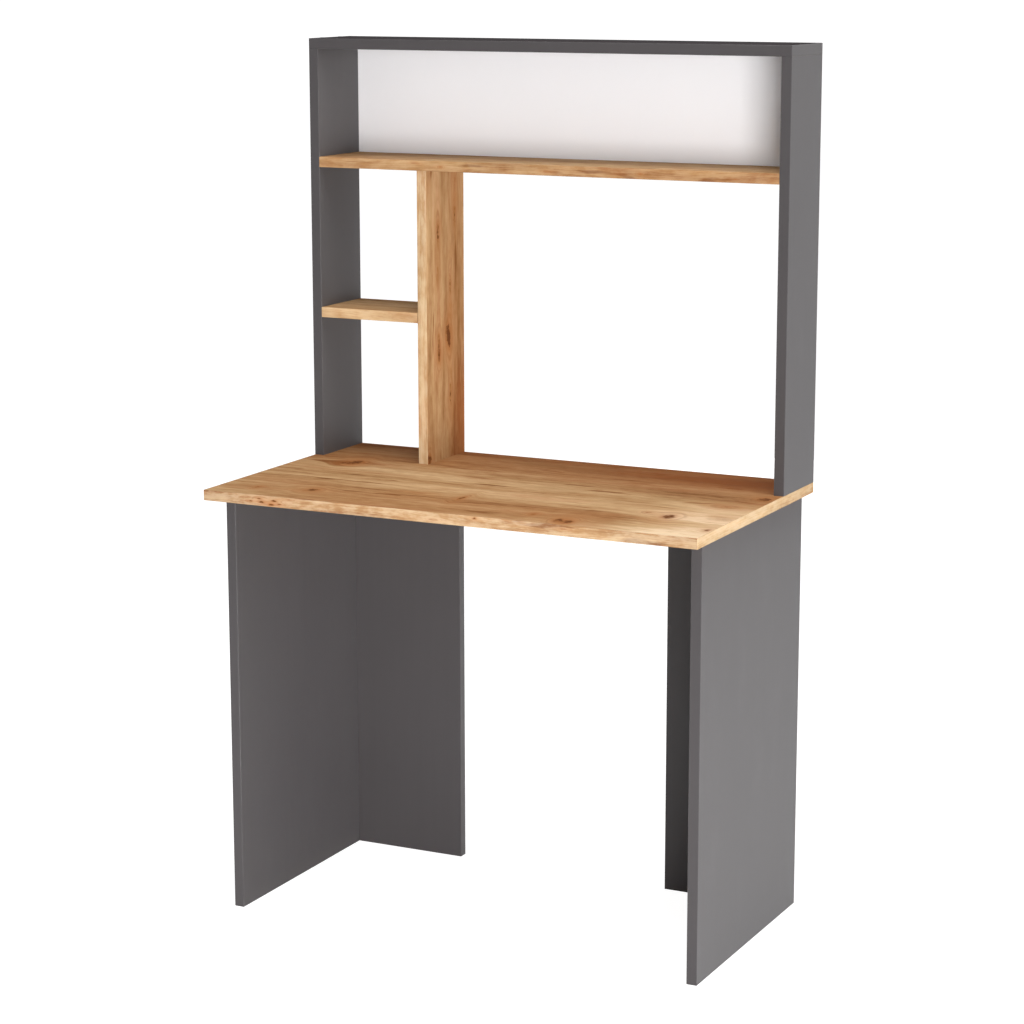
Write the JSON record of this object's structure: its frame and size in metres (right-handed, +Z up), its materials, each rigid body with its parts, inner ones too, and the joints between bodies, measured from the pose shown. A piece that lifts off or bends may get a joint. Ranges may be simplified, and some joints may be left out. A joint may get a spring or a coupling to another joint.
{
  "type": "student desk with hutch",
  "caption": "Small writing desk on panel legs, with an open hutch at the rear of the desktop: top bay, main bay and side cubbies round a loose shelf.",
  "frame": {"origin": "on the floor, at the middle of the footprint", "axes": "+Z up, the user sits on the -Y side, +X is the user's right"},
  "size_m": [0.9, 0.518, 1.4904],
  "materials": {
    "oak_board": "chipboard with a matt melamine film, knotty warm oak grain",
    "oak_edge": "1 mm edge band printed to match the knotty oak film",
    "anthracite_board": "chipboard with a matt dark grey melamine film",
    "anthracite_edge": "1 mm edge band, matt dark grey",
    "white_hardboard": "3 mm hardboard, painted white on the front, bare brown at the back",
    "zinc": "die-cast zinc alloy, dull",
    "steel": "zinc-plated steel",
    "beech": "bare beech",
    "cap_plastic": "self-adhesive cap, matt dark grey"
  },
  "bodies": {
    "root": {"desktop": "oak_board", "desktop_edge_bands": "oak_edge", "hutch_divider": "oak_board", "hutch_divider_edge_bands": "oak_edge", "hutch_shelf": "oak_board", "hutch_shelf_edge_bands": "oak_edge", "hutch_small_shelf": "oak_board", "hutch_small_shelf_edge_bands": "oak_edge", "left_leg": "anthracite_board", "left_leg_edge_bands": "anthracite_edge", "right_leg": "anthracite_board", "right_leg_edge_bands": "anthracite_edge", "left_rear_brace": "anthracite_board", "left_rear_brace_edge_bands": "anthracite_edge", "right_rear_brace": "anthracite_board", "right_rear_brace_edge_bands": "anthracite_edge", "hutch_left_side": "anthracite_board", "hutch_left_side_edge_bands": "anthracite_edge", "hutch_right_side": "anthracite_board", "hutch_right_side_edge_bands": "anthracite_edge", "hutch_top": "anthracite_board", "hutch_top_edge_bands": "anthracite_edge", "hutch_back": "white_hardboard", "cam_locks": "zinc", "cam_bolts": "steel", "connector_screws": "steel", "shelf_pins": "steel", "back_brads": "steel", "wooden_dowels": "beech", "screw_caps": "cap_plastic"}
  },
  "joints": []
}
